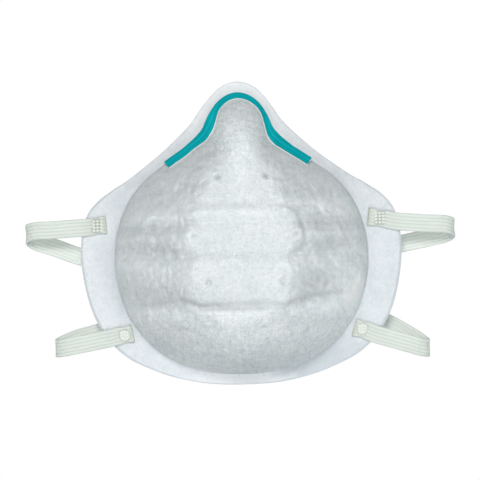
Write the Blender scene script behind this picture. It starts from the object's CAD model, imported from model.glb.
"""Moulded felt face mask with a nose clip, a nose foam and two knitted headbands.

x runs to the wearer's left and z upwards. The cup bulges to the front, towards -y, and the
headbands hang behind its rim. Shapes are worked out in millimetres and degrees, and turned
into metres in make(). Materials, lights and the camera are in metres.
"""
import math

import bpy
import numpy as np
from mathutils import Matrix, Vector


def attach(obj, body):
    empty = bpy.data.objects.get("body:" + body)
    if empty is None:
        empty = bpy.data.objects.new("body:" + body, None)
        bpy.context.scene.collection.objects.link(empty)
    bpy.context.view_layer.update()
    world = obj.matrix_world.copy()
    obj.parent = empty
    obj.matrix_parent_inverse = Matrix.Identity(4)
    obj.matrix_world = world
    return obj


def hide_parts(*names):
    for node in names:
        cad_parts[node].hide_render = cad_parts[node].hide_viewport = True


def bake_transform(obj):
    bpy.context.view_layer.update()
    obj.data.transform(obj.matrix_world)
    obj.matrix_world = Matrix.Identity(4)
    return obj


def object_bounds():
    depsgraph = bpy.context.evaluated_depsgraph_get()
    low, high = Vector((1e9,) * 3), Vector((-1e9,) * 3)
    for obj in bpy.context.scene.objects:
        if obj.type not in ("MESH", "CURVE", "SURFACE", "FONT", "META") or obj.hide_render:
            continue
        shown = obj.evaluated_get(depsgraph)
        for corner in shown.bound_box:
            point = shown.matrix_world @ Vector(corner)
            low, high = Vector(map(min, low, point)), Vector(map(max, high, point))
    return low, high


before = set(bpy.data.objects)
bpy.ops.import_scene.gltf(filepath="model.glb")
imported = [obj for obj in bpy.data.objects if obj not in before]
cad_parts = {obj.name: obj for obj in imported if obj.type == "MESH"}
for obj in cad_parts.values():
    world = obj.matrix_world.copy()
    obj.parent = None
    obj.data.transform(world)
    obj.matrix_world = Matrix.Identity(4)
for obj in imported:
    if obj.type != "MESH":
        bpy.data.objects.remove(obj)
CAD_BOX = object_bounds()
MM = 0.001
WORD = {1: "left", -1: "right"}     # the side of the mask by the sign of x

# ---------------------------------------------------------------- sizes of the mask
# The surface is addressed by angle and reach. The angle runs from +x (0) up to +z (90).
# Reach goes from 0 at the middle to 1 at the cup's edge and 2 at the flange's rim.
# (elevation, radius seen from the front)
CUP_EDGE = [
    (-90, 57.5), (-70, 58.8), (-50, 60), (-35, 59.8), (-20, 58.6), (0, 56.8), (20, 54.6),
    (35, 52.4), (44, 50.7), (52, 49.9), (60, 49.8), (66, 50.9), (70, 52.2), (74, 54.5),
    (78, 59.4), (82, 63.9), (86, 66.7), (90, 67.7)]
RIM_EDGE = [
    (-90, 62.2), (-72, 64), (-54, 68.2), (-42, 72), (-30, 73.6), (-12, 72.8), (4, 72.2),
    (13, 70.8), (19, 67.6), (25, 63.2), (32, 58.9), (42, 55.9), (52, 55), (62, 56.5),
    (70, 59.8), (77, 65.7), (84, 71.6), (90, 73.6)]
# raised middle panel: (z, half width) and (z, x of its middle)
PANEL_WIDTH = [
    (-62, 9), (-36, 12), (-29, 17.5), (-26, 19.0), (-21, 21.0), (-15, 21.8), (-9, 21.6),
    (-4.2, 20.8), (1, 22.8), (5.5, 24.0), (10, 20.8), (16, 20.0), (20.7, 18.6), (25, 16.6),
    (29.7, 14.4), (36.5, 10.8), (43, 7.2), (47.7, 5.4), (52, 4.4), (76, 4.1)]
PANEL_MIDDLE = [
    (-36, 0), (-26, -0.2), (-15, -0.1), (-4, 0.2), (3, 1.2), (8, 1.0), (14, -0.3), (25, 0.1),
    (48, 0.8), (60, 0.4)]

CUP_DEPTH, CHIN_DEPTH = 50.0, 10
CHIN_FROM, CHIN_DROP = -24.0, 35        # z where the chin starts to curve back, and its height
UPPER_FROM, UPPER_SLOPE = 17.0, 0.36    # the ridge falls back above this z
NOSE_FROM, NOSE_SLOPE = 48, 0.52        # and falls back more above this one
SIDE_SLOPE = 1.02                       # beside the panel
EDGE_HEIGHT = (5.0, 13.6, 6.8)          # cup's edge forward of y = 0: at side, nose and chin
RIM_HEIGHT = (0.0, 10.4, 4.8)           # the same for the flange's rim

# creases across the cup, each as (x, z)
CREASES = [
    [(-54, 18.6), (-46, 19.2), (-34, 19.4), (-24, 19.0), (-19, 19.2), (0, 19.2), (20, 19.6),
     (27, 20.4), (36, 20.4), (47, 19.4), (55, 18.6)],
    [(-55, -3.0), (-45, -3.2), (-34, -2.9), (-25, -3.4), (-19, -4.2), (0, -3.8), (21, -4.2),
     (26, -3.4), (31, -2.7), (37, -2.7), (46, -2.0), (55, -1.2)],
    [(-52, -26.4), (-42, -25.2), (-34, -24.2), (-27, -23.2), (-22.5, -24.0), (-19, -25.6),
     (-8, -26.0), (4, -25.4), (12, -25.6), (19, -26.8), (25, -23.8), (32, -22.6),
     (40, -22.0), (52, -21.4)]]
# for each crease, the roll below it: length down, height at the sides and in the middle, and
# the distance over which it rises at the sides
ROLLS = [(22.0, 2.7, 0.42, 7.0), (21.8, 2.6, 0.6, 7.4), (27.0, 2.7, 1.1, 9.0)]
# and its groove: depth in the middle and at the sides, and width
GROOVES = [(0.10, 0.06, 1.8), (0.26, 0.62, 1.5), (1.02, 0.75, 1.6)]
GROOVE_SHADES = (0.05, 0.16, 0.38)
# short folds: points (x, z), depth, width
FOLDS = [
    ([(24.4, 13.2), (26.0, 10.4), (27.2, 7.6), (27.6, 4.4), (27.2, 1.2), (25.2, -2.0),
      (22.2, -4.6)], 0.46, 1.0),
    ([(-22.0, 12.0), (-24.4, 9.0), (-25.4, 5.4), (-25.0, 2.0), (-23.2, -1.6)], 0.22, 1.1),
    ([(-21.6, -6.5), (-22.8, -11.0), (-22.6, -16.0), (-20.4, -21.0)], 0.24, 1.3),
    ([(22.4, -7.0), (23.0, -12.0), (22.4, -18.0), (20.0, -23.4)], 0.34, 1.2),
    ([(24.6, -23.9), (30.5, -23.0), (36.5, -22.2), (42.0, -21.8)], 0.42, 1.1),
    ([(-20.0, 17.4), (-17.4, 23.4), (-14.2, 29.0), (-10.6, 35.2)], 0.20, 1.5),
    ([(18.8, 18.0), (16.4, 24.2), (13.2, 30.6), (10.2, 36.4)], 0.16, 1.6)]
# small round dents: x, z, depth
DENTS = [(-9.6, 30.5, 1.25), (11.7, 30.5, 1.15), (-20.4, 4.6, 1.15), (23.8, 4.6, 1.35),
         (-14.6, -15.4, 1.1), (17.6, -15.4, 1.1)]
# broad bulges and one hollow: x, z, half width, half height, height forward
BULGES = [(-24.0, 5.6, 3.0, 3.2, 0.9), (25.2, 5.4, 3.4, 4.2, 1.3), (30.5, -16.5, 7.5, 4.6, -1.0),
          (45.5, -15.0, 4.8, 10.0, 1.3), (38, -28.5, 14, 4.2, 0.8), (-44.0, -14.0, 5.0, 8.0, 0.5)]
# lighter and darker patches of the cover: x, z, half width, half height, strength
TONE_PATCHES = [
    # rolls
    (-34, 14.8, 12.5, 2.9, 0.66), (34, 17.2, 12.0, 3.2, 0.80), (23.5, 18.4, 5.5, 2.2, 0.26),
    (-43, -7.8, 11, 3.2, 0.54), (-29, -8.4, 6, 3.0, 0.16), (36, -7.0, 11, 2.6, 0.34),
    (-31, -29.8, 13, 3.4, 0.44), (38, -28.0, 13, 4.6, 0.50), (-7, -29.8, 17, 3.6, 0.26),
    (14, -29.6, 9, 3.4, 0.14),
    # recesses between them
    (-32, 8.4, 15, 2.4, -0.24), (-37, 0.0, 15, 2.8, -0.46), (-38, 0.5, 5, 3, -0.18),
    (-38, -19.6, 14, 3.8, -0.46), (33, 9.6, 11, 2.6, -0.22), (38, 0.6, 12, 2.4, -0.42),
    (32, -16.5, 8.0, 5.0, -0.46), (-9, -23.8, 17, 2.2, -0.34), (-22, -26.6, 5, 2.0, -0.24),
    (23.6, -25.4, 3.8, 2.8, -0.50), (45, 3, 5, 7, -0.22), (-46, 24, 7, 6, 0.06),
    (-32, -38, 10, 8, -0.32), (30, -31, 10, 7, 0.06), (0, -47, 24, 7, -0.12),
    # outer part of the cup on the left
    (47, -15, 4.4, 10, 0.60), (51, 4, 3.2, 12, 0.16), (40, -23.5, 8, 2, 0.16),
    (44, 16, 5, 4, 0.30),
    # panel and its borders
    (0, 14.8, 18, 1.7, 0.20), (0, 19.4, 17, 1.4, -0.10), (0, 33, 8, 12, 0.30),
    (14, 30, 3.2, 6, 0.34), (-12.5, 31, 3.0, 4, 0.40), (0, 19.6, 22, 2.2, 0.20),
    (0, -8, 20, 3.0, 0.10), (14, -14, 7, 6, 0.10), (-23.5, 3.4, 3.2, 5, 0.50),
    (-23, 17.6, 4, 1.8, 0.34), (22.6, 14.0, 3.6, 2, -0.40), (28.5, 5, 2.2, 5, 0.34),
    (-22, 11.6, 4, 2.6, -0.40), (0, 41, 3.4, 8, 0.16), (-1, 50, 9, 8, 0.30),
    (5, 44, 3.4, 7, 0.12),
    # far out on both sides
    (-46, 20, 5.5, 13, 0.22), (46, 13, 5.5, 12, 0.26), (48, -27, 4, 9, 0.50),
    (52.5, -19, 2.5, 8, 0.70), (-42, 33, 9, 4, 0.36), (42, 18, 5, 4, -0.22),
    # beside the nose
    (-36, 31, 10, 5, 0.12), (42, 25, 6, 7, 0.12), (13, 40, 3.5, 8, -0.24),
    (-13.5, 43, 3.0, 6, -0.20), (-6.2, 43, 2.8, 5.0, -0.24), (-13, 37, 6, 4.5, -0.20),
    (9.0, 45, 3.0, 4.0, -0.20), (19, 33, 4, 5, -0.14)]
# lighter and darker parts of the flange: angle, width, strength
WEB_PATCHES = [(-88, 17, 2.3), (-59, 17, -1.35), (-122, 20, -0.30), (90, 22, 0.70),
               (158, 12, -0.40), (24, 14, -0.25), (-12, 26, -0.30)]
# the same within a ring near the flange's inner edge
WEB_RING_PATCHES = [(-112, 18, 0.5), (-93, 9, 0.9), (-75, 8, -0.8)]


# ---------------------------------------------------------------- curves and noise
def curve(table, x):
    """Smooth curve through (x, value) rows, level at both ends."""
    stations, values = np.asarray(table, float).T
    slopes = np.zeros(len(stations))
    slopes[1:-1] = (values[2:] - values[:-2]) / (stations[2:] - stations[:-2])
    x = np.clip(np.asarray(x, float), stations[0], stations[-1])
    i = np.clip(np.searchsorted(stations, x, side="right") - 1, 0, len(stations) - 2)
    step = stations[i + 1] - stations[i]
    t = (x - stations[i]) / step
    return ((2 * t**3 - 3 * t**2 + 1) * values[i] + (t**3 - 2 * t**2 + t) * step * slopes[i]
            + (3 * t**2 - 2 * t**3) * values[i + 1] + (t**3 - t**2) * step * slopes[i + 1])


def line(table, x):
    """Straight segments through (x, value) rows."""
    stations, values = np.asarray(table, float).T
    return np.interp(x, stations, values)


def ease(share):
    share = np.clip(share, 0, 1)
    return share * share * (3 - 2 * share)


def soft_ramp(value, radius):
    """Rounded version of max(value, 0)."""
    return (value + np.sqrt(value * value + radius * radius)) / 2


def mix(start, end, share):
    return start + (end - start) * share


def bell(offset, width):
    return np.exp(-(offset / width) ** 2)


def blob(x, z, middle_x, middle_z, half_x, half_z):
    return np.exp(-((x - middle_x) / half_x) ** 2 - ((z - middle_z) / half_z) ** 2)


def hashed(column, row, seed):
    """Repeatable number from -1 to 1 for each grid point."""
    bits = (column.astype(np.int64) * 374761393 + row.astype(np.int64) * 668265263
            + seed * 974634777) & 0xFFFFFFFF
    bits = ((bits ^ (bits >> 13)) * 1274126177) & 0xFFFFFFFF
    bits = ((bits ^ (bits >> 16)) * 2246822519) & 0xFFFFFFFF
    return ((bits ^ (bits >> 15)) & 0xFFFFFF) / float(0xFFFFFF) * 2 - 1


def field(x, z, size, seed):
    """Smooth gradient noise, about -1 to 1, on a grid turned by an angle of its own."""
    cos, sin = math.cos(seed * 1.7), math.sin(seed * 1.7)
    along_x, along_z = (x * cos - z * sin) / size, (x * sin + z * cos) / size
    column, row = np.floor(along_x), np.floor(along_z)
    part_x, part_z = along_x - column, along_z - row

    def corner(i, j):
        turn = hashed(column + i, row + j, seed) * math.pi
        return np.cos(turn) * (part_x - i) + np.sin(turn) * (part_z - j)

    def smoother(t):
        return t * t * t * (t * (t * 6 - 15) + 10)

    share = smoother(part_x)
    return 1.5 * mix(mix(corner(0, 0), corner(1, 0), share),
                     mix(corner(0, 1), corner(1, 1), share), smoother(part_z))


# ---------------------------------------------------------------- the mask's outside surface
def elevation(angle):
    """Angle above the x axis, -90 to 90, the same on both sides."""
    return np.degrees(np.arcsin(np.clip(np.sin(np.radians(angle)), -1, 1)))


def cup_radius(angle):
    return curve(CUP_EDGE, elevation(angle))


def rim_radius(angle):
    return curve(RIM_EDGE, elevation(angle))


def height_around(angle, at_side, at_nose, at_chin):
    sin = np.sin(np.radians(angle))
    return at_side + np.where(sin > 0, at_nose - at_side, at_chin - at_side) * sin * sin


def middle_height(z):
    """Forward height of the cup along its middle line."""
    chin = np.clip((CHIN_FROM - z) / CHIN_DROP, 0, 0.998)
    upper = soft_ramp(z - UPPER_FROM, 5) - soft_ramp(-60, 5)
    nose = soft_ramp(z - NOSE_FROM, 6) - soft_ramp(-90, 6)
    return (mix(CHIN_DEPTH, CUP_DEPTH, np.sqrt(1 - chin * chin))
            - UPPER_SLOPE * upper - NOSE_SLOPE * nose)


def cup_height(x, z):
    """Forward height of the plain cup: a flat panel with sloping sides."""
    width = line(PANEL_WIDTH, z) + 0.7 * field(x, z, 5.0, 21) + 0.5 * field(x, z, 2.6, 22)
    corner = mix(mix(2.8, 6.0, ease((z - 24) / 18)), 14, ease((CHIN_FROM - z) / 12))
    beside = soft_ramp(np.abs(x - line(PANEL_MIDDLE, z)) - width, corner)
    return (middle_height(z) - SIDE_SLOPE * (beside - soft_ramp(-width, corner))
            - 0.0004 * x * x)


def fold(x, z, chain, width):
    """Closeness, 0 to 1, to a chain of short segments, fading at its two ends."""
    nearest = np.full(x.shape, 1e9)
    place = np.zeros(x.shape)
    chain = np.asarray(chain, float)
    for i in range(len(chain) - 1):
        start_x, start_z = chain[i]
        run_x, run_z = chain[i + 1] - chain[i]
        t = ((x - start_x) * run_x + (z - start_z) * run_z) / (run_x * run_x + run_z * run_z)
        t = np.clip(t, 0, 1)
        distance = np.hypot(x - start_x - t * run_x, z - start_z - t * run_z)
        closer = distance < nearest
        nearest = np.where(closer, distance, nearest)
        place = np.where(closer, (i + t) / (len(chain) - 1), place)
    return bell(nearest, width) * ease(place / 0.2) * ease((1 - place) / 0.2)


def moulding(x, z):
    """Forward height of the rolls, creases, folds and dents over the plain cup."""
    sides = ease((np.abs(x) - 18) / 7)
    fade = 1 - ease((np.abs(x) - 39) / 15)
    waver = 0.4 * field(x, z, 17, 3) + 0.22 * field(x, z, 6, 4)
    height = np.zeros_like(x)
    # each roll swells out below its crease and sinks slowly towards the next one
    for crease, (length, at_sides, in_middle, rise) in zip(CREASES, ROLLS):
        below = line(crease, x) + waver - z
        swell = ease(below / mix(3.2, rise, sides))
        sink = np.clip(1 - np.clip((below - 3) / (length - 3), 0, 1) ** 1.25, 0, 1)
        roll = np.where((below > 0) & (below < length), swell * sink, 0)
        height += roll * mix(in_middle, at_sides, sides)
    height *= fade
    for crease, (in_middle, at_sides, width) in zip(CREASES, GROOVES):
        below = line(crease, x) + waver - z
        uneven = (1 + 0.25 * field(x, z, 8, 5)) * (1 + 0.4 * bell(x + 15, 9))
        height -= fade * mix(in_middle, at_sides, sides) * bell(below, width) * uneven
    # shallow groove between the first two creases, and a narrow rib above it on the panel
    shallow_z = 10.5 + waver + np.where(x > 18, 1.4 * ease((x - 18) / 16), 0)
    height -= 0.36 * fade * bell(z - shallow_z, 1.3) * (1 - 0.4 * sides)
    height += 0.55 * (1 - sides) * bell(z - 14.9 - waver, 1.9)
    for *place, bulge in BULGES:
        height += bulge * blob(x, z, *place)
    for chain, depth, width in FOLDS:
        height -= depth * fold(x, z, chain, width)
    # each dent has a faint raised ring
    for dent_x, dent_z, depth in DENTS:
        distance = np.sqrt((x - dent_x) ** 2 + (z - dent_z) ** 2)
        height += depth * (0.10 * bell(distance - 2.2, 0.7) - bell(distance, 1.15))
    return height


def coarse(x, z):
    """Extra lumpiness of the felt over the chin and the nose."""
    return 0.9 * ease((-25 - z) / 7) + 0.7 * ease((z - 34) / 12) * ease((z - 20) / 10)


def felt_lumps(x, z):
    sides = ease((np.abs(x) - 20) / 10) * ease((z + 32) / 6)
    large = 0.16 * field(x, z, 7.0, 11) + 0.12 * field(x, z, 3.4, 12)
    small = 0.10 * field(x, z, 1.8, 13) + 0.05 * field(x, z, 1.1, 14)
    return (1 + 0.7 * coarse(x, z)) * ((1 - 0.72 * sides) * large + (1 - 0.15 * sides) * small)


def tone(x, z):
    """Lighter over the rolls, darker in the creases."""
    fade = 1 - ease((np.abs(x) - 43) / 8)
    shade = np.zeros_like(x)
    mottle = 1 + 0.20 * field(x, z, 4.5, 61)
    for *place, strength in TONE_PATCHES:
        shade += strength * blob(x, z, *place) * mottle
    uneven = (1 + 0.5 * field(x, z, 7, 62)) * (1 + 0.7 * bell(x + 15, 10))
    for crease, strength in zip(CREASES, GROOVE_SHADES):
        shade -= strength * fade * bell(line(crease, x) - z + 0.3, 1.4) * uneven
    for chain, depth, width in FOLDS:
        shade -= 0.45 * depth * fold(x, z, chain, width * 1.1)
    for dent_x, dent_z, _ in DENTS:
        shade -= (0.95 if dent_z > 20 else 0.50) * blob(x, z, dent_x, dent_z, 1.1, 1.5)
    return shade


def surface(angle, reach, detail=1.0):
    """Points of the outside surface. detail scales the moulding and the ripples."""
    angle, reach = np.broadcast_arrays(np.asarray(angle, float), np.asarray(reach, float))
    cos, sin = np.cos(np.radians(angle)), np.sin(np.radians(angle))
    cup, rim = cup_radius(angle), rim_radius(angle)
    edge = height_around(angle, *EDGE_HEIGHT)
    nose = ease((elevation(angle) - 40) / 9)
    # cup: it fades into a steep wall at its edge
    inner = np.minimum(reach, 1)
    cup_x, cup_z = inner * cup * cos, inner * cup * sin
    relief = moulding(cup_x, cup_z) + 0.8 * felt_lumps(cup_x, cup_z)
    height = cup_height(cup_x, cup_z) + detail * relief * (1 - ease((inner - 0.90) / 0.09))
    top = edge + 4 + soft_ramp(height - edge - 4, 2)
    wall = np.maximum(1 - np.power(inner, mix(13, 18, nose)), 0)
    cup_y = -(edge + (top - edge) * np.power(wall, mix(0.5, 0.85, nose)))
    # flange
    outer = np.clip(reach - 1, 0, 1.2)
    radius = mix(cup, rim, outer)
    web_x, web_z = radius * cos, radius * sin
    ripple = 0.28 * field(web_x, web_z, 15, 31) + 0.10 * field(web_x, web_z, 5, 32)
    web_y = -(mix(edge, height_around(angle, *RIM_HEIGHT), outer) - 0.9 * outer * (1 - outer)
              + detail * ripple * ease(outer / 0.25))
    in_cup = reach <= 1
    x, z = np.where(in_cup, cup_x, web_x), np.where(in_cup, cup_z, web_z)
    # the left flank of the nose leans a little to the wearer's right
    x = x - 0.85 * ease((z - 24) / 16) * ease((x - 9) / 11)
    return np.stack([x, np.where(in_cup, cup_y, web_y), z], -1)


def normals(angle, reach, detail=1.0):
    """Unit normals of the outside surface, facing the front."""
    angle_step, reach_step = 0.9, 0.012
    reach = np.maximum(reach, reach_step)
    around = (surface(angle + angle_step, reach, detail)
              - surface(angle - angle_step, reach, detail))
    outward = (surface(angle, reach + reach_step, detail)
               - surface(angle, reach - reach_step, detail))
    normal = np.cross(outward, around)
    normal /= np.maximum(np.linalg.norm(normal, axis=-1, keepdims=True), 1e-9)
    return normal * np.where(normal[..., 1:2] > 0, -1, 1)


# ---------------------------------------------------------------- mesh helpers
def make(name, verts, faces, material, attributes=None):
    """Smooth-shaded object from millimetres, with its shape kept in the attribute rest."""
    mesh = bpy.data.meshes.new(name)
    verts = np.asarray(verts, float).reshape(-1, 3) * MM
    mesh.from_pydata(verts.tolist(), [], faces)
    mesh.update()
    for key, values in {"rest": verts, **(attributes or {})}.items():
        values = np.asarray(values, np.float32)
        kind, field_name = (("FLOAT_VECTOR", "vector") if values.ndim == 2
                            else ("FLOAT", "value"))
        attribute = mesh.attributes.new(key, kind, "POINT")
        attribute.data.foreach_set(field_name, values.ravel())
    mesh.polygons.foreach_set("use_smooth", [True] * len(mesh.polygons))
    mesh.materials.append(material)
    piece = bpy.data.objects.new(name, mesh)
    bpy.context.scene.collection.objects.link(piece)
    return piece


def grid_faces(rows, columns, wrap=False, flip=False):
    row = np.arange(rows - 1)[:, None]
    column = np.arange(columns if wrap else columns - 1)[None, :]
    here = row * columns + column
    beside = row * columns + (column + 1) % columns
    quads = np.stack([here, beside, beside + columns, here + columns], -1).reshape(-1, 4)
    return (quads[:, ::-1] if flip else quads).tolist()


def end_cap(first, ring, flip):
    """Quads across a flat ring of vertices that goes out and comes back."""
    quads = [[first + i, first + i + 1, first + ring - 2 - i, first + ring - 1 - i]
             for i in range(ring // 2 - 1)]
    return [quad[::-1] for quad in quads] if flip else quads


def sheet(name, material, side, reaches, front, back, count, detail=1.0, end_round=0.0,
          paint=None):
    """Half of a layer. front and back are depths behind the outside, one or one per row."""
    angle, reach = np.meshgrid(np.linspace(-90, 90, count), reaches)
    if side < 0:
        angle = 180 - angle
    normal = normals(angle, reach, detail)
    outside = surface(angle, reach, detail)
    front_face = outside - np.reshape(front, (-1, 1, 1)) * normal
    back_face = outside - np.reshape(back, (-1, 1, 1)) * normal
    for face in (front_face, back_face):
        face[:, [0, -1], 0] = 0
    rings = []
    if end_round:
        middle = (front_face[-1] + back_face[-1]) / 2
        outward = front_face[-1] - front_face[-2]
        outward /= np.maximum(np.linalg.norm(outward, axis=-1, keepdims=True), 1e-9)
        half = np.linalg.norm(front_face[-1] - back_face[-1], axis=-1, keepdims=True) / 2
        rings = [middle + (front_face[-1] - middle) * math.cos(turn)
                 + outward * half * math.sin(turn) * end_round
                 for turn in np.radians([30, 60, 90, 120, 150])]
    rounding = np.array(rings).reshape(-1, count, 3)
    rows = np.concatenate([front_face, rounding, back_face[::-1]])
    verts = rows.reshape(-1, 3)
    faces = grid_faces(len(rows), count, flip=side < 0)
    if reaches[0] > 0.05:      # a ring has an inner edge as well
        low = np.arange(count - 1)
        last = (len(rows) - 1) * count
        quads = np.stack([low + 1, low, low + last, low + 1 + last], -1)
        faces += (quads[:, ::-1] if side < 0 else quads).tolist()
    across = np.repeat(
        np.concatenate([reaches, np.full(len(rings), reaches[-1]), reaches[::-1]]), count)
    painted = paint(verts, across) if paint else {}
    return make(name, verts, faces, material, {"across": across, **painted})


def cover_paint(verts, across):
    x, z = verts[:, 0], verts[:, 2]
    return {"tone": tone(x, z), "grain": 1 + coarse(x, z)}


def web_paint(verts, across):
    x, z = verts[:, 0], verts[:, 2]
    angle = np.degrees(np.arctan2(z, x))

    def patches(table):
        return sum(strength * bell(angle - at, width) for at, width, strength in table)

    by_cup = np.exp(-np.maximum(across - 1, 0) / 0.16) * bell(z + 16, 34)
    right_ring = (x < 0) * bell(across - 1.35, 0.28) * bell(z + 12, 24)
    rim = (0.9 + 1.8 * ease(-z / 40)) * ease((across - 1.90) / 0.09)
    return {"tone": patches(WEB_PATCHES) - by_cup * np.where(x < 0, 1.35, 0.2)
            - 0.36 * right_ring + bell(across - 1.2, 0.3) * patches(WEB_RING_PATCHES) - rim}


# ---------------------------------------------------------------- shader helpers
class Signal:
    """Output socket of a shader node. Arithmetic on it adds Math nodes."""

    def __init__(self, nodes, socket):
        self.nodes, self.socket = nodes, socket

    def output(self, key):
        """Another output of the same node."""
        return Signal(self.nodes, self.socket.node.outputs[key])

    def __add__(self, other):
        return self.nodes.math("ADD", self, other)

    def __sub__(self, other):
        return self.nodes.math("SUBTRACT", self, other)

    def __rsub__(self, other):
        return self.nodes.math("SUBTRACT", other, self)

    def __mul__(self, other):
        return self.nodes.math("MULTIPLY", self, other)


class Nodes:
    """Builds the node tree of a material or world."""

    def __init__(self, owner):
        self.owner = owner
        owner.use_nodes = True
        self.tree = owner.node_tree

    def plug(self, value, socket):
        if isinstance(value, Signal):
            self.tree.links.new(value.socket, socket)
        elif socket.type == "RGBA":
            socket.default_value = (*value, 1)
        else:
            socket.default_value = value

    def node(self, kind, inputs=None, output=0, **settings):
        node = self.tree.nodes.new(kind)
        for key, value in settings.items():
            setattr(node, key, value)
        for key, value in (inputs or {}).items():
            self.plug(value, node.inputs[key])
        return Signal(self, node.outputs[output])

    def attribute(self, name, output="Vector"):
        return self.node("ShaderNodeAttribute", output=output, attribute_name=name)

    def math(self, operation, *values):
        return self.node("ShaderNodeMath", dict(enumerate(values)), operation=operation)

    def mapping(self, vector, scale=(1, 1, 1), turn=(0, 0, 0), move=(0, 0, 0)):
        return self.node("ShaderNodeMapping", {
            "Scale": scale, "Rotation": turn, "Location": move, "Vector": vector})

    def noise(self, vector, scale=1.0, detail=2.0, rough=0.5, distort=0.0):
        return self.node("ShaderNodeTexNoise", {
            "Scale": scale, "Detail": detail, "Roughness": rough, "Distortion": distort,
            "Vector": vector})

    def voronoi(self, vector, scale, feature="F1", randomness=1.0):
        return self.node("ShaderNodeTexVoronoi", {
            "Scale": scale, "Randomness": randomness, "Vector": vector},
            output="Distance", feature=feature)

    def ramp(self, value, *stops):
        """Colour ramp through (position, colour) stops."""
        ramp = self.node("ShaderNodeValToRGB", {0: value})
        elements = ramp.socket.node.color_ramp.elements
        while len(elements) < len(stops):
            elements.new(0.5)
        for element, (position, colour) in zip(elements, stops):
            element.position = position
            element.color = (*colour, 1)
        return ramp

    def span(self, value, low, high, out=(0.0, 1.0)):
        """value rescaled from low..high to the range out, and clamped."""
        return self.node("ShaderNodeMapRange", {0: value, 1: low, 2: high, 3: out[0],
                                                4: out[1]}, clamp=True)

    def blend(self, share, under, over, mode="MIX", clamp=False):
        return self.node("ShaderNodeMix", {0: share, 6: under, 7: over}, output=2,
                         data_type="RGBA", blend_type=mode, clamp_result=clamp)

    def bump(self, height, distance, strength, under=None, invert=False):
        inputs = {"Strength": strength, "Distance": distance, "Height": height}
        if under is not None:
            inputs["Normal"] = under
        return self.node("ShaderNodeBump", inputs, invert=invert)

    def finish(self, colour, roughness, normal=None, **principled):
        """Plugs up the Principled shader and returns the material."""
        inputs = {"Base Color": colour, "Roughness": roughness, **principled}
        if normal is not None:
            inputs["Normal"] = normal
        for key, value in inputs.items():
            self.plug(value, self.tree.nodes["Principled BSDF"].inputs[key])
        return self.owner


def new_material(name):
    return Nodes(bpy.data.materials.new(name))


def specular(level):
    return {"Specular IOR Level": level}


def sheen(weight, roughness=0.5, tint=(1, 1, 1)):
    return {"Sheen Weight": weight, "Sheen Roughness": roughness, "Sheen Tint": tint}


def fibres(nodes, position, seed, width=1.0):
    """Thin streaks running at several angles in the x-z plane."""
    total = None
    for i, angle in enumerate((12, 48, 81, 118, 152)):
        vector = nodes.mapping(position, turn=(0.12 * i, math.radians(angle), 0.07 * i))
        vector = nodes.mapping(vector, scale=(340, 2600 / width, 3400 / width))
        vector = nodes.mapping(vector, move=(seed * 7.3 + i * 3.1, i * 5.7, seed * 2.9))
        streak = nodes.noise(vector, detail=1.0, rough=0.4, distort=0.35)
        streak = nodes.span(streak, 0.56, 0.74)
        total = streak if total is None else nodes.math("MAXIMUM", total, streak)
    return total


# ---------------------------------------------------------------- materials
def felt_material(name, light, dark, fibre_depth, lump_depth, contrast, seed, rough=0.92,
                  striae=0.0, sheen_weight=0.25, toned=False):
    """Felted fibre. toned reads the attributes tone and grain; striae adds drawn streaks."""
    nodes = new_material(name)
    rest = nodes.attribute("rest")
    large = nodes.noise(rest, scale=60, detail=3, rough=0.55)
    medium = nodes.noise(rest, scale=430, detail=4, rough=0.65, distort=0.6)
    small = nodes.noise(rest, scale=1150, detail=3, rough=0.6, distort=0.8)
    fine = nodes.noise(rest, scale=2300, detail=3, rough=0.7)
    fibre = fibres(nodes, rest, seed)
    mottle = large * 0.22 + medium * 0.40 + small * 0.38
    if striae:
        upright, level = (
            nodes.noise(nodes.mapping(rest, scale), detail=3, rough=0.6, distort=1.2)
            for scale in ((950, 60, 130), (120, 60, 900)))
        mottle = mottle * 0.72 + (upright * 0.16 + level * 0.12)
    lit = nodes.span(mottle, 0.5 - 0.15 / contrast, 0.5 + 0.15 / contrast)
    if toned:
        # the wider span keeps room for the grain, so the two colours move apart to match
        lit = nodes.span((lit - 0.5) * nodes.attribute("grain", "Fac") + 0.5, -0.6, 1.6)
        darker = tuple(max(0.0, d - 0.6 * (l - d)) for l, d in zip(light, dark))
        lighter = tuple(min(1.0, l + 0.6 * (l - d)) for l, d in zip(light, dark))
        colour = nodes.ramp(lit, (0.0, darker), (1.0, lighter))
        shade = nodes.attribute("tone", "Fac") * 0.36 + 1.0
        colour = nodes.blend(1.0, colour, shade, "MULTIPLY", clamp=True)
    else:
        colour = nodes.ramp(lit, (0.0, dark), (1.0, light))
    colour = nodes.blend(fibre * 0.30, colour, tuple(min(1.0, c * 1.09) for c in light))
    pores = nodes.span(fine, 0.30, 0.48, out=(1.0, 0.0))
    colour = nodes.blend(pores * 0.30, colour, tuple(c * 0.74 for c in dark))
    normal = nodes.bump(medium * 0.6 + small * 0.4, distance=lump_depth * 2.4, strength=0.9)
    normal = nodes.bump(fine, distance=0.00009, strength=0.7, under=normal)
    normal = nodes.bump(fibre, distance=fibre_depth, strength=0.9, under=normal)
    if striae:
        normal = nodes.bump(upright, distance=0.00014, strength=striae, under=normal)
    roughness = nodes.span(fine, 0.2, 0.8, out=(rough - 0.06, min(1.0, rough + 0.05)))
    return nodes.finish(colour, roughness, normal, **specular(0.25),
                        **sheen(sheen_weight, 0.45, (0.93, 0.97, 0.98)))


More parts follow.
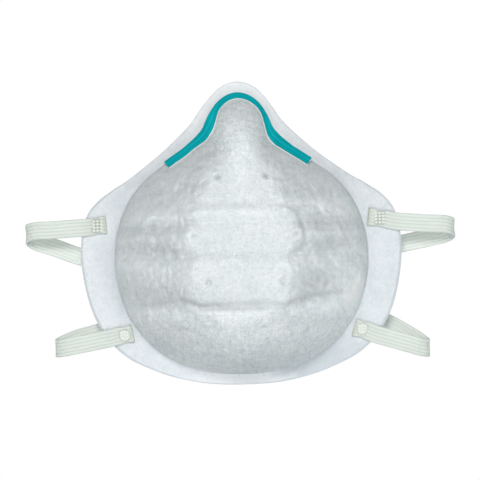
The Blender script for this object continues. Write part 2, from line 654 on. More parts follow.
def flange_material():
    nodes = new_material("flange_web")
    rest = nodes.attribute("rest")
    large = nodes.noise(rest, scale=90, detail=3)
    medium = nodes.noise(rest, scale=600, detail=3, rough=0.6)
    fibre = fibres(nodes, rest, 3, width=1.1)
    # small pressed dots on a slanted grid, clearer in some places than in others
    grid = nodes.mapping(rest, turn=(0, math.radians(38), 0))
    grid = nodes.mapping(nodes.mapping(grid, scale=(720, 60, 720)))
    dots = nodes.voronoi(grid, scale=1.0, randomness=0.22)
    dots = nodes.span(dots, 0.18, 0.40, out=(1.0, 0.0))
    clear = nodes.span(nodes.noise(rest, scale=38), 0.42, 0.62)
    dots = dots * (clear * 0.8 + 0.2)
    blots = nodes.noise(rest, scale=240, detail=3, rough=0.6, distort=0.8)
    lit = nodes.span(large * 0.3 + (blots * 0.4 + medium * 0.3), 0.36, 0.64)
    lit = nodes.span(lit + nodes.attribute("tone", "Fac") * 1.6, -1.0, 2.6)
    colour = nodes.ramp(
        lit, (0.0, (0.540, 0.580, 0.610)), (0.28, (0.672, 0.706, 0.735)),
        (0.55, (0.790, 0.812, 0.838)), (1.0, (0.93, 0.945, 0.96)))
    spots = nodes.noise(rest, scale=700, rough=0.6, distort=0.4)
    spots = nodes.span(spots, 0.60, 0.70)
    colour = nodes.blend(spots * 0.38, colour, (0.52, 0.565, 0.60))
    colour = nodes.blend(dots * 0.30, colour, (0.56, 0.60, 0.63))
    colour = nodes.blend(fibre * 0.25, colour, (0.88, 0.90, 0.92))
    normal = nodes.bump(medium, distance=0.00012, strength=0.7)
    normal = nodes.bump(dots, distance=0.00010, strength=0.9, under=normal, invert=True)
    normal = nodes.bump(fibre, distance=0.00007, strength=0.8, under=normal)
    return nodes.finish(colour, nodes.span(dots, 0, 1, out=(0.86, 0.62)), normal,
                        **specular(0.3), **sheen(0.2, 0.4, (0.96, 0.98, 1.0)))


def clip_material():
    """Paint. Attribute strip holds (mm along, -1..1 across, height as a share)."""
    nodes = new_material("clip_paint")
    rest = nodes.attribute("rest")
    strip_place = nodes.attribute("strip")
    fine = nodes.noise(rest, scale=5200, rough=0.6)
    streaks = nodes.noise(nodes.mapping(strip_place, (60, 3600, 1)), detail=3, rough=0.6)
    large = nodes.noise(rest, scale=120, detail=3, rough=0.6)
    colour = nodes.ramp(nodes.span(large * 0.45 + streaks * 0.55, 0.35, 0.65),
                        (0.0, (0.004, 0.405, 0.450)), (1.0, (0.008, 0.535, 0.592)))
    height = nodes.node("ShaderNodeSeparateXYZ", {0: strip_place}, output=2)
    # darker in the pressed grooves, worn on the highest parts
    groove = nodes.span(height, 0.78, 0.90, out=(1.0, 0.0))
    colour = nodes.blend(groove * 0.55, colour, (0.001, 0.215, 0.262))
    wear = nodes.noise(rest, scale=900, detail=4, rough=0.7)
    worn = nodes.span(height, 0.85, 1.0) * nodes.span(wear, 0.58, 0.68)
    colour = nodes.blend(worn * 0.25, colour, (0.10, 0.54, 0.57))
    scratches = nodes.noise(nodes.mapping(strip_place, (220, 9000, 1)))
    scratches = nodes.span(scratches, 0.66, 0.72)
    colour = nodes.blend(scratches * 0.16, colour, (0.06, 0.52, 0.55))
    normal = nodes.bump(fine, distance=0.00004, strength=0.4)
    normal = nodes.bump(streaks, distance=0.00003, strength=0.3, under=normal)
    roughness = nodes.span(fine, 0.3, 0.7, out=(0.48, 0.62)) + scratches * 0.1
    return nodes.finish(colour, roughness, normal, **specular(0.0))


def tape_material():
    nodes = new_material("adhesive")
    grain = nodes.noise(nodes.attribute("rest"), scale=800, detail=4, rough=0.6)
    colour = nodes.ramp(grain, (0.3, (0.80, 0.79, 0.75)), (0.7, (0.90, 0.89, 0.86)))
    return nodes.finish(colour, nodes.span(grain, 0.3, 0.7, out=(0.25, 0.5)),
                        nodes.bump(grain, distance=0.00008, strength=0.6))


def foam_material():
    nodes = new_material("open_cell_foam")
    rest = nodes.attribute("rest")
    cells = (nodes.voronoi(rest, scale=1500, feature="SMOOTH_F1") * 0.7
             + nodes.voronoi(rest, scale=3100) * 0.3)
    large = nodes.noise(rest, scale=160, detail=3, rough=0.6)
    colour = nodes.ramp(nodes.span(cells, 0.12, 0.62), (0.0, (0.62, 0.65, 0.64)),
                        (0.55, (0.82, 0.845, 0.835)), (1.0, (0.87, 0.89, 0.88)))
    patches = nodes.span(large, 0.4, 0.7)
    colour = nodes.blend(patches * 0.25, colour, (0.80, 0.81, 0.77))
    normal = nodes.bump(cells, distance=0.00035, strength=0.9)
    return nodes.finish(colour, 0.9, normal, **specular(0.2), **sheen(0.1))


RIB_PITCH = 1.56       # mm between the ribs that run along a headband
STITCH = 0.92          # mm along a headband


def band_material():
    """Knitted elastic. Attribute band holds (mm along, mm across, 0 or 1 for the face)."""
    nodes = new_material("knit_elastic")
    band = nodes.attribute("band")
    rest = nodes.attribute("rest")
    along_band = nodes.node("ShaderNodeSeparateXYZ", {0: band})
    across_band, face = along_band.output(1), along_band.output(2)
    rib_turn = math.pi / RIB_PITCH
    rows = nodes.math("ABSOLUTE", nodes.math("COSINE", across_band * rib_turn))
    rows = nodes.math("POWER", rows, 0.55)
    bend = nodes.math("ABSOLUTE", nodes.math("SINE", across_band * rib_turn))
    knit = nodes.math("SINE", along_band * (2 * math.pi / STITCH) + bend * 2.4)
    knit = nodes.span(knit, -1, 1)
    yarn = nodes.noise(nodes.mapping(band, (1.5, 14, 1)), detail=3, rough=0.65)
    fuzz = nodes.noise(rest, scale=3800, rough=0.7)
    colour = nodes.ramp(
        rows * 0.62 + knit * 0.09 + yarn * 0.29, (0.12, (0.440, 0.495, 0.475)),
        (0.50, (0.610, 0.655, 0.612)), (0.95, (0.710, 0.745, 0.698)))
    patches = nodes.noise(rest, scale=150, detail=3, rough=0.6)
    patches = nodes.span(patches, 0.45, 0.75)
    colour = nodes.blend(patches * 0.22, colour, (0.70, 0.715, 0.64))
    # face 1 is whiter, the selvages are a little darker
    colour = nodes.blend(face * 0.22, colour, (0.90, 0.925, 0.89))
    edges = (nodes.span(across_band, -2.9, -3.9, out=(0.0, 0.30))
             + nodes.span(across_band, 3.4, 3.95, out=(0.0, 0.14)))
    colour = nodes.blend(edges, colour, (0.36, 0.40, 0.38))
    torn = nodes.noise(rest, scale=1400, detail=3, rough=0.6)
    torn = nodes.attribute("fray", "Fac") * nodes.span(torn, 0.30, 0.62, out=(0.45, 1.0))
    colour = nodes.blend(torn * 0.70, colour, (0.42, 0.44, 0.33))
    normal = nodes.bump(knit, distance=0.00005, strength=0.6)
    normal = nodes.bump(yarn, distance=0.00006, strength=0.6, under=normal)
    normal = nodes.bump(fuzz, distance=0.00004, strength=0.5, under=normal)
    scatter = {"Subsurface Weight": 0.6, "Subsurface Radius": (1.0, 1.0, 1.0),
               "Subsurface Scale": 0.0012}
    return nodes.finish(colour, nodes.span(rows, 0, 1, out=(0.9, 0.72)), normal,
                        **specular(0.3), **sheen(0.12, 0.4, (0.97, 1.0, 0.95)), **scatter)


def weld_material():
    nodes = new_material("fused_weld")
    rest = nodes.attribute("rest")
    fine = nodes.noise(rest, scale=2400, detail=3, rough=0.6)
    large = nodes.noise(rest, scale=500, detail=3, rough=0.6)
    colour = nodes.ramp(
        nodes.attribute("lump", "Fac") * 0.75 + large * 0.35, (0.12, (0.40, 0.44, 0.38)),
        (0.42, (0.67, 0.705, 0.65)), (0.95, (0.80, 0.83, 0.785)))
    return nodes.finish(colour, nodes.span(fine, 0.3, 0.7, out=(0.30, 0.5)),
                        nodes.bump(fine, distance=0.00006, strength=0.6), **specular(0.4))


COVER = felt_material(
    "cover_felt", light=(0.872, 0.885, 0.892), dark=(0.642, 0.706, 0.714),
    fibre_depth=0.00016, lump_depth=0.00034, contrast=1.6, seed=1, striae=0.6,
    sheen_weight=0.0, toned=True)
LINER = felt_material(
    "liner_web", light=(0.88, 0.895, 0.895), dark=(0.80, 0.82, 0.82),
    fibre_depth=0.00006, lump_depth=0.00008, contrast=0.9, seed=5, rough=0.88)
FILTER = felt_material(
    "filter_web", light=(0.90, 0.91, 0.905), dark=(0.84, 0.85, 0.845),
    fibre_depth=0.00005, lump_depth=0.00005, contrast=0.8, seed=7, rough=0.8)
STIFFENER = felt_material(
    "stiffener_fibre", light=(0.76, 0.78, 0.77), dark=(0.66, 0.68, 0.67),
    fibre_depth=0.00014, lump_depth=0.00018, contrast=1.1, seed=9, rough=0.75)
FLANGE = flange_material()
CLIP = clip_material()
TAPE = tape_material()
FOAM = foam_material()
BAND = band_material()
WELD = weld_material()

# ---------------------------------------------------------------- layers of the mask
LINER_THICKNESS = 0.5


def place_on_arm(piece, side, slot, *replaced):
    """Lets a piece follow the body below and the clip arm of its side above."""
    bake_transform(piece)
    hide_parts(*replaced)


def cup_rows(count, outermost=1.0):
    """Reaches across the cup, closer together towards its edge."""
    return np.sin(np.linspace(0, math.pi / 2, count)) * outermost


def liner_depth(reach):
    return mix(2.84, 1.34, ease((reach - 0.93) / 0.07))


def build_layers(side):
    word = WORD[side]
    reaches = np.append(cup_rows(200), 1.004)
    cover = sheet(f"cover_{word}", COVER, side, reaches,
                  front=np.where(reaches > 1, 0.25, 0.0), back=np.where(reaches > 1, 0.9, 0.7),
                  count=330, end_round=0.6, paint=cover_paint)
    place_on_arm(cover, side, "cover", "outer_shell")

    # the flange starts just under the cover's edge
    reaches = np.concatenate(
        [[0.965, 0.985, 1.0], 1 + np.linspace(0.03, 0.96, 46), [1.98, 1.993]])
    tucked = reaches < 0.999
    flange = sheet(f"flange_{word}", FLANGE, side, reaches,
                   front=np.where(tucked, 0.74, 0.0) + 0.12 * ease((reaches - 1.95) / 0.04),
                   back=np.where(tucked, 0.80, 0.70),
                   count=330, end_round=0.9, paint=web_paint)
    place_on_arm(flange, side, "flange", "flange_web")

    reaches = np.concatenate([cup_rows(60), 1 + np.linspace(0.05, 0.985, 14)])
    filter_web = sheet(f"filter_{word}", FILTER, side, reaches, front=0.92, back=1.16, count=150)
    place_on_arm(filter_web, side, "filter", "filter_web")

    stiffener = sheet(f"stiffener_{word}", STIFFENER, side, cup_rows(60, outermost=0.955),
                      front=1.45, back=2.15, count=150)
    place_on_arm(stiffener, side, "stiffener", "stiffener_shell")

    reaches = np.concatenate([cup_rows(110), 1 + np.linspace(0.03, 0.985, 30)])
    depth = liner_depth(reaches)
    liner = sheet(f"liner_{word}", LINER, side, reaches, front=depth,
                  back=depth + LINER_THICKNESS, count=260, detail=0.85,
                  end_round=0.8)
    place_on_arm(liner, side, "liner", "inner_liner")


def build_cover_middle():
    """Strip inside the cover under its middle line, so that no slit opens when the arms bend."""
    x, z = np.meshgrid(np.linspace(-3.2, 3.2, 13), np.linspace(14, 63.5, 80))
    angle = np.degrees(np.arctan2(z, x))
    reach = np.hypot(x, z) / cup_radius(angle)
    outside, normal = surface(angle, reach), normals(angle, reach)
    front_face, back_face = outside - 0.22 * normal, outside - 0.60 * normal
    rings = np.concatenate([front_face, back_face[:, ::-1]], axis=1)
    rows, ring = rings.shape[:2]
    faces = grid_faces(rows, ring, wrap=True)
    faces += end_cap(0, ring, flip=True) + end_cap((rows - 1) * ring, ring, flip=False)
    verts = rings.reshape(-1, 3)
    across = np.full(len(verts), 0.5)
    middle = make("cover_middle", verts, faces, COVER,
                  {"across": across, **cover_paint(verts, across)})
    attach(middle, "mask_body")
    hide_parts("outer_shell")


for side in (1, -1):
    build_layers(side)
build_cover_middle()

# ---------------------------------------------------------------- nose clip and its tape
# (elevation, reach of the clip's inner edge) on each side
CLIP_EDGE_LEFT = [
    (49, 0.932), (60, 0.930), (66, 0.919), (70, 0.906), (74, 0.903), (76, 0.904), (78, 0.930),
    (80, 0.958), (82, 0.966), (86, 0.967), (90, 0.966)]
CLIP_EDGE_RIGHT = [
    (49, 0.938), (60, 0.937), (66, 0.936), (70, 0.925), (74, 0.906), (76, 0.895), (78, 0.886),
    (80, 0.902), (82, 0.940), (84, 0.954), (87, 0.963), (90, 0.966)]
STRIP_DROP = 6.2             # most that the outer edge lies behind the inner one
STRIP_SINK = 0.75            # how far the cover may stand through the plain strip
STRIP_HALF_MIN = 1.2
# cross-sections: (-1..1 across, height)
CLIP_EDGE = [(-0.93, 0.0), (-0.98, 0.06), (-1.0, 0.20), (-1.0, 0.52), (-0.985, 0.68)]
TAPE_SECTION = [(-1.10, -0.02), (-1.13, 0.08), (-1.11, 0.20), (-1.04, 0.27), (0.0, 0.31),
                (1.00, 0.27), (1.04, 0.18), (1.02, -0.4), (0.96, -0.8)]


def neighbours(values):
    """For each value, the 19 values around it."""
    return np.lib.stride_tricks.sliding_window_view(np.pad(values, 9, mode="edge"), 19)


def strip_frames(angle):
    """Middle, across and outward directions, and half width of the strip at each angle."""
    start = np.where(angle <= 90, curve(CLIP_EDGE_LEFT, elevation(angle)),
                     curve(CLIP_EDGE_RIGHT, elevation(angle)))
    inner, outer = surface(angle, start, 0.0), surface(angle, np.ones_like(angle), 0.0)
    # the outer edge stands off the steep side of the nose
    drop = np.minimum(outer[:, 1] - inner[:, 1], STRIP_DROP)
    outer[:, 1] = inner[:, 1] + drop
    # the strip comes forward where the cover would show through it
    share = np.linspace(0, 1, 11)[:, None]
    wall = surface(np.broadcast_to(angle, (11, len(angle))), start + (1 - start) * share, 0.0)
    shortfall = (inner[:, 1] + share * drop - wall[..., 1]).max(0) - STRIP_SINK
    forward = neighbours(neighbours(np.maximum(shortfall, 0)).max(-1)).mean(-1)
    inner[:, 1] -= forward
    outer[:, 1] -= forward
    across = outer - inner
    half = np.linalg.norm(across, axis=-1) / 2
    across /= (2 * half)[:, None]
    out = normals(angle, (start + 1) / 2, 0.0)
    out -= across * np.sum(out * across, -1, keepdims=True)
    out /= np.linalg.norm(out, axis=-1, keepdims=True)
    return (inner + outer) / 2, across, out, half


def strip(name, material, side, end_angle, base, section, count):
    """Half of a strip over the nose, from the middle plane to end_angle."""
    middle, across, out, half = strip_frames(
        np.linspace(90, end_angle if side > 0 else 180 - end_angle, count))
    shares, heights = np.array(section).T
    ring = len(section)
    wide = across * np.maximum(half, STRIP_HALF_MIN)[:, None]
    verts = (middle[:, None] + wide[:, None] * shares[:, None]
             + out[:, None] * (base + heights)[:, None])
    verts[0, :, 0] = 0
    faces = grid_faces(count, ring, wrap=True, flip=side > 0)
    cap = list(range((count - 1) * ring, count * ring))
    faces.append(cap[::-1] if side < 0 else cap)
    steps = np.linalg.norm(np.diff(middle, axis=0), axis=-1)
    run = np.concatenate([[0], np.cumsum(steps)])
    place = np.stack([np.repeat(run, ring), np.tile(shares, count),
                      np.tile(heights / heights.max(), count)], -1)
    return make(name, verts, faces, material, {"strip": place})


def clip_section():
    """Slightly domed top with two grooves and a middle rib, between rounded edges."""
    share = np.linspace(-0.93, 0.93, 41)
    height = 0.78 + 0.10 * np.cos(share * math.pi * 0.5)
    height -= 0.20 * (bell(share + 0.46, 0.085) + bell(share - 0.46, 0.085))
    height += 0.07 * bell(share, 0.20)
    return CLIP_EDGE + list(zip(share, height)) + [(-u, h) for u, h in reversed(CLIP_EDGE)]


for side in (1, -1):
    word = WORD[side]
    clip = strip(f"nose_clip_{word}", CLIP, side, end_angle=49.0, base=0.30,
                 section=clip_section(), count=170)
    place_on_arm(clip, side, "clip", "nose_clip_crown", f"nose_clip_{word}_arm")
    tape = strip(f"clip_adhesive_{word}", TAPE, side, end_angle=48.5, base=0.0,
                 section=TAPE_SECTION, count=150)
    place_on_arm(tape, side, "tape", "clip_tape_crown", f"clip_tape_{word}")

# ---------------------------------------------------------------- nose foam
FOAM_SPREAD = 46.0           # degrees to each side of the middle plane
FOAM_TAPER = 7.0             # degrees of its thinner end
FOAM_REACH = (0.865, 1.63)
FOAM_GAP = 0.25              # from the liner's back


def foam_half(name, material, side, near, far, rows, columns, rough):
    """Cushion behind the liner, from near to far mm, thinner towards its end."""
    off_top, reach = np.meshgrid(np.linspace(0, FOAM_SPREAD, rows),
                                 np.linspace(*FOAM_REACH, columns), indexing="ij")
    angle = 90 - side * off_top
    depth = liner_depth(reach) + LINER_THICKNESS + FOAM_GAP
    base = surface(angle, reach, 0.6) - depth[..., None] * normals(angle, reach, 0.6)
    turn = np.radians(angle)
    back = np.stack([-0.35 * np.cos(turn), np.ones_like(turn), -0.35 * np.sin(turn)], -1)
    back /= np.linalg.norm(back, axis=-1, keepdims=True)
    end = np.sqrt(np.clip((FOAM_SPREAD - off_top) / FOAM_TAPER, 0, 1))
    share = (reach - FOAM_REACH[0]) / (FOAM_REACH[1] - FOAM_REACH[0])
    dome = np.sqrt(np.clip(1 - np.abs(2 * share - 1) ** 4.0, 0, 1))
    x, z = base[..., 0], base[..., 2]
    lumps = rough * (field(x + 40, z, 3.0, 51) + 0.6 * field(x, z, 1.2, 52))
    top = near + (far - near) * dome * mix(0.25, 1, end) + lumps * dome
    rings = np.concatenate([base + near * back, (base + top[..., None] * back)[:, ::-1]], axis=1)
    rings[0, :, 0] = 0
    ring = 2 * columns
    faces = grid_faces(rows, ring, wrap=True, flip=side < 0)
    faces += end_cap((rows - 1) * ring, ring, flip=side > 0)
    return make(name, rings, faces, material)


for side in (1, -1):
    foam = foam_half(f"nose_foam_{WORD[side]}", FOAM, side, near=0.22, far=4.5,
                     rows=150, columns=60, rough=0.10)
    place_on_arm(foam, side, "foam", "nose_foam")
    film = foam_half(f"foam_adhesive_{WORD[side]}", TAPE, side, near=0.02, far=0.18,
                     rows=50, columns=16, rough=0.0)
    place_on_arm(film, side, "tape", "foam_tape")

# ---------------------------------------------------------------- headbands
BAND_WIDTH = 8.0
BAND_LIFT = 0.78             # middle of a band over the plain flange
WELD_TO_END = 0.72           # in stations of a band's line


def flange_place(x, z):
    """Angle and reach of the flange at (x, z)."""
    angle = math.degrees(math.atan2(z, x))
    cup, rim = float(cup_radius(angle)), float(rim_radius(angle))
    return angle, 1 + min(max((math.hypot(x, z) - cup) / (rim - cup), 0.06), 0.94)


def flange_normal(x, z):
    angle, reach = flange_place(x, z)
    return normals(np.array([angle]), np.array([reach]), 0.0)[0]


def band_line(start_z, stations):
    """Line of a band from the flange to the middle plane. y None means on the flange."""
    points = []
    for x, y, rise in stations:
        z = start_z + rise
        if y is None:
            points.append(surface(*flange_place(x, z), 0.0) + BAND_LIFT * flange_normal(x, z))
        else:
            points.append(np.array([x, y, z], float))
    return np.array(points)


# Each band: its line on the left as (x, y, z above start_z). For each side, how far every
# station is pulled out and raised, the station where the band starts and that of its weld.
# end_stop is the station where the end piece meets the loop. Blends are in metres: x over
# which the ends follow the sides, y over which the loop follows the rear.
BANDS = {
    "upper": dict(
        line=band_line(11.6, [
            (57.6, None, 0), (64, None, -0.8), (70, None, -1.6), (77, -0.9, -2.4),
            (85.4, -0.7, -3.4), (92.6, 0.2, -4.2), (96.5, 4.2, -5.9), (93.2, 8.7, -8.9),
            (84, 10.6, -11.8), (72, 12.6, -15), (56, 16.5, -18.2), (36, 22.6, -21.2),
            (18, 27.6, -22.8), (0, 29.6, -23.3)]),
        pulled={1: [0] * 14, -1: [0, 0, 0, 0, 0.2, 0.5, 0.5, 0.5, 0.2, 0, 0, 0, 0, 0]},
        raised={1: [0, -0.3, -0.8, -0.7, -0.4, -0.1, 0, 0.3, 1.2, 2.1, 1.8, 1, 0, 0],
                -1: [0, 0, 0.2, 0.7, 1.3, 1.9, 2.2, 2.0, 1.4, 0, 0, 0, 0, 0]},
        start={1: -0.08, -1: 0.42}, weld={1: 0.74, -1: 1.02}, end_stop=4.75,
        end_blend=(0.0725, 0.0885), loop_blend=(0.0006, 0.0160)),
    "lower": dict(
        line=band_line(-38.2, [
            (49.6, None, 0.3), (54.6, None, -0.7), (59.4, None, -2), (66, -1.6, -3.8),
            (74.6, -1.2, -5.8), (81.4, 0, -7.2), (85, 3.6, -7.4), (82.2, 7.4, -5.6),
            (75, 8.8, -2), (65, 9.8, 2.2), (52, 11.4, 7), (34, 13.4, 11.4),
            (17, 14.6, 13.6), (0, 15, 14.2)]),
        pulled={1: [0, 0, 0, 0, -0.3, -0.8, -1.2, -1.2, -0.4, 0, 0, 0, 0, 0], -1: [0] * 14},
        raised={1: [0, -0.4, -1.2, -1.5, -2.1, -2.7, -2.9, -2.7, -2.0, -0.6, 0, 0, 0, 0],
                -1: [0, 0.2, 0.4, 0.9, 1.4, 1.6, 1.5, 1.2, 0.3, -1.3, -1.0, 0, 0, 0]},
        start={1: 0.0, -1: 0.0}, weld={1: 0.72, -1: 0.72}, end_stop=4.80,
        end_blend=(0.0640, 0.0775), loop_blend=(0.0004, 0.0110))}
LAST_STATION = len(BANDS["upper"]["line"]) - 1


def along(points, station):
    """Point of a smooth line at a station; the line goes on mirrored past its last point."""
    count = len(points)

    def point(i):
        if i < 0:
            return 2 * points[0] - points[1]
        if i >= count:
            return points[2 * count - 2 - i] * (-1, 1, 1)
        return points[i]

    i = min(int(math.floor(station)), count - 2)
    t = station - i
    a, b, c, d = (point(j) for j in range(i - 1, i + 3))
    return 0.5 * (2 * b + (c - a) * t + (2 * a - 5 * b + 4 * c - d) * t * t
                  + (3 * b - a - 3 * c + d) * t**3)


def band_section():
    """Closed section (across, height, face), ribbed on both faces with rounded edges."""
    half, edge = BAND_WIDTH / 2, 0.2
    spots = np.linspace(-half + 0.22, half - 0.22, 61)

    def top(across):
        return 0.31 + 0.12 * math.sqrt(abs(math.cos(math.pi * across / RIB_PITCH)))

    section = [(across, -top(across), 0) for across in spots]
    section += [(half - edge + edge * math.cos(turn), 0.34 * math.sin(turn), 0)
                for turn in np.radians([-60, -30, 0, 30, 60])]
    section += [(across, top(across), 1) for across in spots[::-1]]
    section += [(-half + edge + edge * math.cos(turn), 0.34 * math.sin(turn), 1)
                for turn in np.radians([120, 150, 180, 210, 240])]
    return np.array(section)


SECTION = band_section()


def band_frame(points, station):
    """Middle of the band and its up and outward directions, with x to the left."""
    middle = along(points, station)
    before, after = max(station - 0.03, 0), min(station + 0.03, LAST_STATION)
    forward = along(points, after) - along(points, before)
    return middle, forward / np.linalg.norm(forward)


def band_rows(lines, start, stop, steps, side, weld):
    """Vertex rings and the run in mm at each. lines are the near half and the far half."""
    rings, runs = [], []
    run, previous = 0.0, None
    across, height = SECTION[:, :1], SECTION[:, 1:2]
    for i in range(steps + 1):
        station = mix(start, stop, i / steps)
        if station > LAST_STATION:
            middle, forward = band_frame(lines[1], 2 * LAST_STATION - station)
            middle[0] = -middle[0]
            forward[1:] = -forward[1:]
        else:
            middle, forward = band_frame(lines[0], station)
        up = np.array([0, 0, 1.0]) - forward[2] * forward
        up /= np.linalg.norm(up)
        out = np.cross(forward, up)
        if station < 3:                # near its end the band lies along the flange
            face = flange_normal(middle[0], middle[2])
            flat = 1 - float(ease((station - 1.7) / 1.3))
            out = out * (1 - flat) + (face - face.dot(forward) * forward) * flat
            out /= np.linalg.norm(out)
            up = np.cross(out, forward)
        if side < 0:
            middle, up, out = (vector * (-1, 1, 1) for vector in (middle, up, out))
        if previous is not None:
            run += np.linalg.norm(middle - previous)
        previous = middle
        thick, wide = (1.0, 1.0) if weld is None else pressed(station, weld)
        # slight unevenness of a soft ribbon
        twist = 0.05 * math.sin(run * 0.21 + side) + 0.03 * math.sin(run * 0.53)
        rings.append(middle + up * across * wide - out * height * thick
                     + out * twist * across * 0.25)
        runs.append(run)
    return np.array(rings), np.array(runs)


def pressed(station, weld):
    """Thickness and width of the band near its weld, as shares of the plain ones."""
    near = math.exp(-((station - weld) / 0.34) ** 4)
    return 1 - 0.42 * near, 1 - 0.09 * near + 0.025 * bell(station - weld + WELD_TO_END, 0.10)


def band_mesh(name, lines, start, stop, steps, side=1, weld=None, run_before=0.0):
    """Piece of a band. One with a weld is closed and frayed at its start."""
    rings, runs = band_rows(lines, start, stop, steps, side, weld)
    ring = len(SECTION)
    faces = grid_faces(steps + 1, ring, wrap=True, flip=side < 0)
    fray = np.zeros(steps + 1)
    if weld is not None:
        cap = list(range(ring))
        faces.append(cap[::-1] if side > 0 else cap)
        past = np.linspace(start, stop, steps + 1) - start
        fray = np.clip(bell(past, 0.16) + 0.30 * bell(past - 1.14, 0.07), 0, 1)
    place = np.stack([np.repeat(runs + run_before, ring), np.tile(SECTION[:, 0], len(runs)),
                      np.tile(SECTION[:, 2], len(runs))], -1)
    piece = make(name, rings, faces, BAND, {"band": place, "fray": np.repeat(fray, ring)})
    return piece, runs[-1]


def build_band(word, band):
    lines, lengths = {}, {}
    cut = band["end_stop"]
    for side in (1, -1):
        pulled, raised = band["pulled"][side], band["raised"][side]
        lines[side] = band["line"] + np.stack([pulled, np.zeros(len(pulled)), raised], -1)
        end, lengths[side] = band_mesh(
            f"{word}_band_{WORD[side]}_end", (lines[side], None), band["start"][side], cut,
            steps=190, side=side, weld=band["weld"][side])
        near, far = band["end_blend"]
        side * near
        side * far
        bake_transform(end)
        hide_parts(f"{word}_band_{WORD[side]}_end")
    loop, _ = band_mesh(f"{word}_band_loop", (lines[1], lines[-1]), cut,
                        2 * LAST_STATION - cut, steps=560,
                        run_before=lengths[1])
    near, far = band["loop_blend"]
    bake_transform(loop)
    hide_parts(f"{word}_band_left_side", f"{word}_band_right_side", f"{word}_band_back")


for word, band in BANDS.items():
    build_band(word, band)

# ---------------------------------------------------------------- welds
PAD_POINTS = 56
PAD_RIM_LEVELS = 4           # outlines of the pad up to the inner side of its rim
# half sizes (x, z); pad height and rim; power of the outline, 2 for round; lumps by column
# and row, their pitch (x, z), half size (x, z), foot and height; full height for the tone
WELDS = {
    "upper": dict(pad=(2.95, 3.1), height=0.30, rim=0.05, power=5, columns=3, rows=4,
                  pitch=(1.75, 1.42), lump=(0.62, 0.50), foot=0.26, rise=0.34, top=0.60),
    "lower": dict(pad=(2.75, 2.75), height=0.40, rim=0.08, power=2, columns=3, rows=3,
                  pitch=(1.30, 1.30), lump=(0.48, 0.48), foot=0.28, rise=0.28, top=0.58)}
TONE_FOOT = 0.30             # height of the darkest tone


def button(x, z, half, levels, points, power, uneven=0):
    """Closed stack of outlines facing the front. levels are (share of size, height)."""
    turn = np.arange(points) * (2 * math.pi / points)
    cos, sin = np.cos(turn), np.sin(turn)
    outline = (np.abs(cos) ** power + np.abs(sin) ** power) ** (-1 / power)
    outline *= 1 + uneven * (0.02 * np.sin(3 * turn) + 0.015 * np.sin(8 * turn + 1))
    verts = np.concatenate([
        np.stack([x + half[0] * share * outline * cos, np.full(points, -height),
                  z + half[1] * share * outline * sin], -1)
        for share, height in levels])
    faces = grid_faces(len(levels), points, wrap=True)
    faces.append(list(range(len(verts) - points, len(verts))))
    faces.append(list(range(points))[::-1])
    return verts, faces


def weld_parts(weld):
    high, rim = weld["height"], weld["rim"]
    levels = [(1.0, -0.1), (1.03, high + rim * 0.35), (1.0, high + rim), (0.92, high + rim),
              (0.86, high + 0.02), (0.5, high), (0.2, high)]
    yield button(0, 0, weld["pad"], levels, PAD_POINTS, weld["power"], uneven=1)
    levels = [(share, weld["foot"] + weld["rise"] * part)
              for share, part in ((1.0, 0.0), (0.98, 0.45), (0.85, 0.85), (0.55, 1.0))]
    for i in range(weld["columns"]):
        for j in range(weld["rows"]):
            yield button((i - (weld["columns"] - 1) / 2) * weld["pitch"][0],
                         (j - (weld["rows"] - 1) / 2) * weld["pitch"][1],
                         weld["lump"], levels, points=16, power=4)


def build_weld(word, side):
    weld, band = WELDS[word], BANDS[word]
    parts, faces, count = [], [], 0
    for part, part_faces in weld_parts(weld):
        faces += [[count + i for i in face] for face in part_faces]
        parts.append(part)
        count += len(part)
    verts = np.concatenate(parts)
    lump = np.clip((-verts[:, 1] - TONE_FOOT) / (weld["top"] - TONE_FOOT), 0, 1)
    lump[:PAD_RIM_LEVELS * PAD_POINTS] = 0       # the squeezed rim of each pad is the darkest
    middle = along(band["line"], band["weld"][side])
    normal = Vector(flange_normal(middle[0], middle[2]))
    turn = Vector((0, -1, 0)).rotation_difference(normal).to_matrix()
    verts = verts @ np.array(turn).T + middle
    if side < 0:
        verts[:, 0] *= -1
        faces = [face[::-1] for face in faces]
    name = f"{word}_{WORD[side]}_weld"
    piece = make(name, verts, faces, WELD, {"lump": lump})
    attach(piece, "mask_body")
    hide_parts(name)


for word in BANDS:
    for side in (1, -1):
        build_weld(word, side)

# ---------------------------------------------------------------- stage, light and camera
scene = bpy.context.scene
scene.view_settings.view_transform = "Standard"
scene.view_settings.look = "None"
scene.view_settings.exposure = 0.0
scene.view_settings.gamma = 1.0

FLOOR_Z = min(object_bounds()[0][2], CAD_BOX[0][2]) - 0.0005
FLOOR_HALF = 1.6
VIEW_WIDTH = 0.216                       # seen across the picture at the aim point
AIM = Vector((-0.00045, -0.005, 0.0027))
# name, place, size, power, colour; all face the origin
LIGHTS = [
    ("key", (-0.10, -1.45, 0.62), (0.5, 0.4), 14.1, (1.0, 0.985, 0.978)),
    ("low_fill", (0.0, -1.25, -0.95), (0.7, 0.5), 6.0, (0.95, 0.99, 1.0)),
    ("left_fill", (1.25, -0.95, 0.25), (0.5, 0.5), 1.4, (0.88, 0.99, 1.0)),
    ("right_fill", (-1.25, -0.95, 0.25), (0.5, 0.5), 0.7, (0.88, 0.99, 1.0)),
    ("front_fill", (0.0, -1.60, 0.05), (0.8, 0.6), 1.5, (1.0, 0.99, 0.985)),
    ("back_fill", (0.3, 1.2, 0.8), (1.0, 0.8), 10.0, (0.97, 0.98, 1.0))]


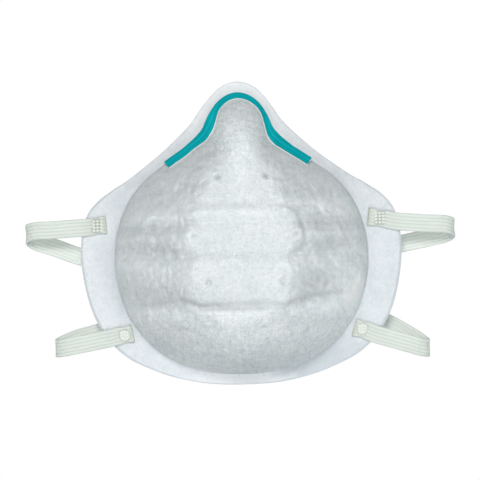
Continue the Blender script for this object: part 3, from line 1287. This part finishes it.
def floor_material():
    """Pale floor that turns plain white where the camera sees it at a grazing angle."""
    nodes = new_material("floor")
    incoming = nodes.node("ShaderNodeNewGeometry", output="Incoming")
    facing = nodes.node("ShaderNodeVectorMath", {0: incoming, 1: incoming.output("Normal")},
                        output="Value", operation="DOT_PRODUCT")
    steep = nodes.span(nodes.math("ABSOLUTE", facing), 0.10, 0.24)
    camera_ray = nodes.node("ShaderNodeLightPath", output="Is Camera Ray")
    solid = nodes.math("MAXIMUM", steep, 1.0 - camera_ray)
    white = nodes.node("ShaderNodeEmission", {"Color": (1, 1, 1), "Strength": 1.0})
    position = nodes.node("ShaderNodeTexCoord", output="Object")
    mottle = nodes.noise(position, scale=60, detail=3)
    colour = nodes.ramp(mottle, (0.3, (0.80, 0.81, 0.82)), (0.7, (0.84, 0.845, 0.85)))
    material = nodes.finish(colour, 0.7, **specular(0.2))
    plain = Signal(nodes, nodes.tree.nodes["Principled BSDF"].outputs[0])
    mixed = nodes.node("ShaderNodeMixShader", {0: solid, 1: white, 2: plain})
    nodes.plug(mixed, nodes.tree.nodes["Material Output"].inputs["Surface"])
    return material


def build_floor():
    mesh = bpy.data.meshes.new("floor")
    corners = [(-1, -1), (1, -1), (1, 1), (-1, 1)]
    mesh.from_pydata([(x * FLOOR_HALF, y * FLOOR_HALF, FLOOR_Z) for x, y in corners], [],
                     [(0, 1, 2, 3)])
    floor = bpy.data.objects.new("floor", mesh)
    mesh.materials.append(floor_material())
    scene.collection.objects.link(floor)
    floor.visible_shadow = False       # the low light shines through it


def build_world():
    """Dim bluish light on the mask, plain white to the camera."""
    world = scene.world or bpy.data.worlds.new("studio")
    scene.world = world
    nodes = Nodes(world)
    nodes.tree.nodes.clear()
    light = nodes.node("ShaderNodeBackground", {0: (0.90, 0.985, 1.0), 1: 0.23})
    backdrop = nodes.node("ShaderNodeBackground", {0: (1, 1, 1), 1: 1.02})
    camera_ray = nodes.node("ShaderNodeLightPath", output="Is Camera Ray")
    mixed = nodes.node("ShaderNodeMixShader", {0: camera_ray, 1: light, 2: backdrop})
    nodes.plug(mixed, nodes.tree.nodes.new("ShaderNodeOutputWorld").inputs[0])


def area_light(name, place, size, power, colour):
    data = bpy.data.lights.new(name, "AREA")
    data.shape = "RECTANGLE"
    data.size, data.size_y = size
    data.energy = power
    data.color = colour
    light = bpy.data.objects.new(name, data)
    light.location = place
    light.rotation_mode = "QUATERNION"
    light.rotation_quaternion = (Vector() - Vector(place)).to_track_quat("-Z", "Y")
    scene.collection.objects.link(light)


def build_camera():
    data = bpy.data.cameras.new("camera")
    camera = bpy.data.objects.new("camera", data)
    scene.collection.objects.link(camera)
    data.sensor_width = 36
    data.lens = 180
    distance = VIEW_WIDTH * data.lens / data.sensor_width
    camera.location = AIM + Vector((0, -distance, 0))
    camera.rotation_euler = (math.radians(90), math.radians(1.6), 0)
    data.clip_start, data.clip_end = 0.05, 20
    scene.camera = camera


build_floor()
build_world()
for settings in LIGHTS:
    area_light(*settings)
build_camera()
